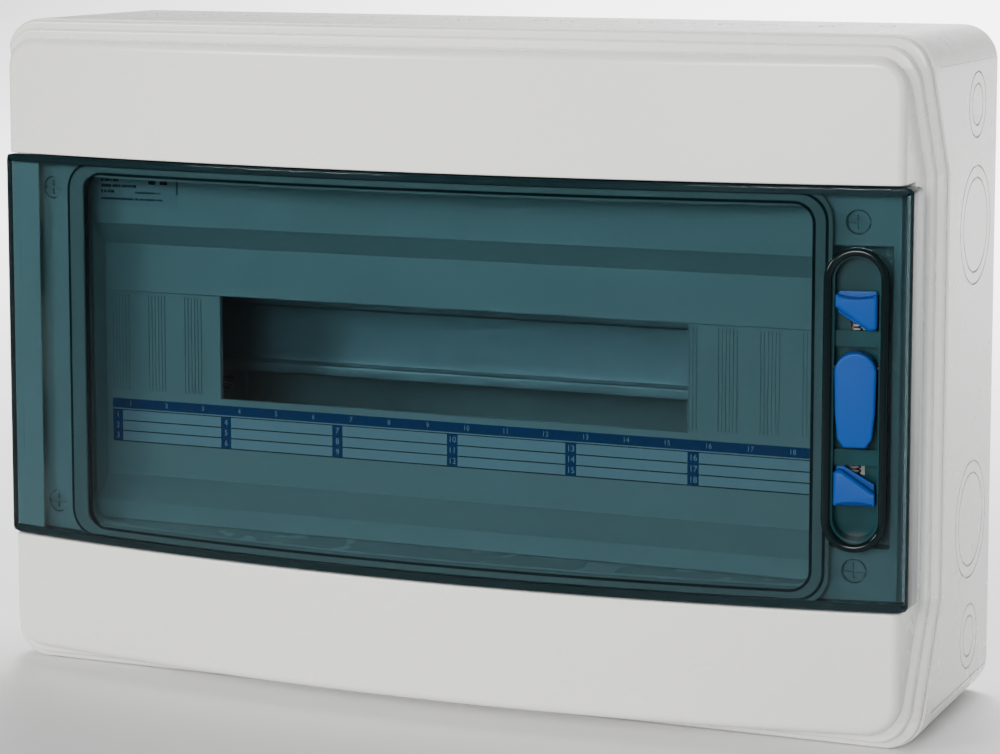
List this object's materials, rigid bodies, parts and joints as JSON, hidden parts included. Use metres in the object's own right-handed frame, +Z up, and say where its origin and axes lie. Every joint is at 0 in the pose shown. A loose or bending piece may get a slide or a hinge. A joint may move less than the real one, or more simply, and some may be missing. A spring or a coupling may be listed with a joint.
{
  "type": "distribution board enclosure",
  "caption": "Wall-mounted circuit breaker enclosure with a bowed grey cover, smoked hinged door, blue thumb latch, rail, blanked cut-out and circuit label card.",
  "frame": {"origin": "centre of the back face, in the plane of the wall", "axes": "+X to the right across the width, +Y into the wall, +Z up; the door faces -Y"},
  "size_m": [0.42, 0.14, 0.287],
  "materials": {
    "housing": "light grey moulded plastic, satin gloss",
    "panel": "light grey moulded plastic",
    "smoked_clear": "smoke-teal transparent plastic",
    "tray_smoke": "dark teal plastic",
    "latch_blue": "blue plastic, satin",
    "seal": "black foam rubber",
    "card": "printed card",
    "label": "plain film label",
    "zinc_steel": "zinc plated",
    "screw_steel": "zinc plated",
    "spring_steel": "spring wire",
    "brass": "bright",
    "neutral_blue": "moulded plastic",
    "earth_green": "moulded plastic"
  },
  "bodies": {
    "enclosure": {"back_box": "housing", "front_cover": "housing", "cover_gasket": "seal", "cover_screws": "screw_steel", "device_panel": "panel", "blanking_strip_left": "panel", "blanking_strip_right": "panel", "label_card": "card", "rating_plate": "label", "din_rail": "zinc_steel", "rail_support_left": "zinc_steel", "rail_support_right": "zinc_steel", "rail_screws": "screw_steel", "support_screws": "screw_steel", "n_terminal_holder": "neutral_blue", "n_terminal_bar": "brass", "n_terminal_screws": "screw_steel", "pe_terminal_holder": "earth_green", "pe_terminal_bar": "brass", "pe_terminal_screws": "screw_steel", "hinge_pin_upper": "screw_steel", "hinge_pin_lower": "screw_steel", "latch_keepers": "zinc_steel"},
    "door_assembly": {"door": "smoked_clear", "door_gasket": "seal", "latch_frame": "tray_smoke", "latch_spring_upper": "spring_steel", "latch_spring_lower": "spring_steel", "paddle_pin": "spring_steel"},
    "upper_slider": {"latch_slider_upper": "latch_blue"},
    "lower_slider": {"latch_slider_lower": "latch_blue"},
    "paddle": {"latch_paddle": "latch_blue"}
  },
  "joints": [
    {"name": "door_hinge", "type": "hinge", "parent": "enclosure", "child": "door_assembly", "pos_m": [-0.1985, -0.112, 0], "axis": [0, 0, -1], "range_deg": [0, 110]},
    {"name": "upper_slide", "type": "slide", "parent": "door_assembly", "child": "upper_slider", "axis": [0, 0, -1], "range_m": [0, 0.005], "stiffness_N_per_m": 300, "springref_m": -0.003, "deforming": ["latch_spring_upper"]},
    {"name": "lower_slide", "type": "slide", "parent": "door_assembly", "child": "lower_slider", "axis": [0, 0, 1], "range_m": [0, 0.005], "stiffness_N_per_m": 300, "springref_m": -0.003, "deforming": ["latch_spring_lower"]},
    {"name": "paddle_pull", "type": "hinge", "parent": "door_assembly", "child": "paddle", "pos_m": [0.18396, -0.11694, 0.0125], "axis": [-0.9819, -0.1892, 0], "range_deg": [0, 40]}
  ]
}
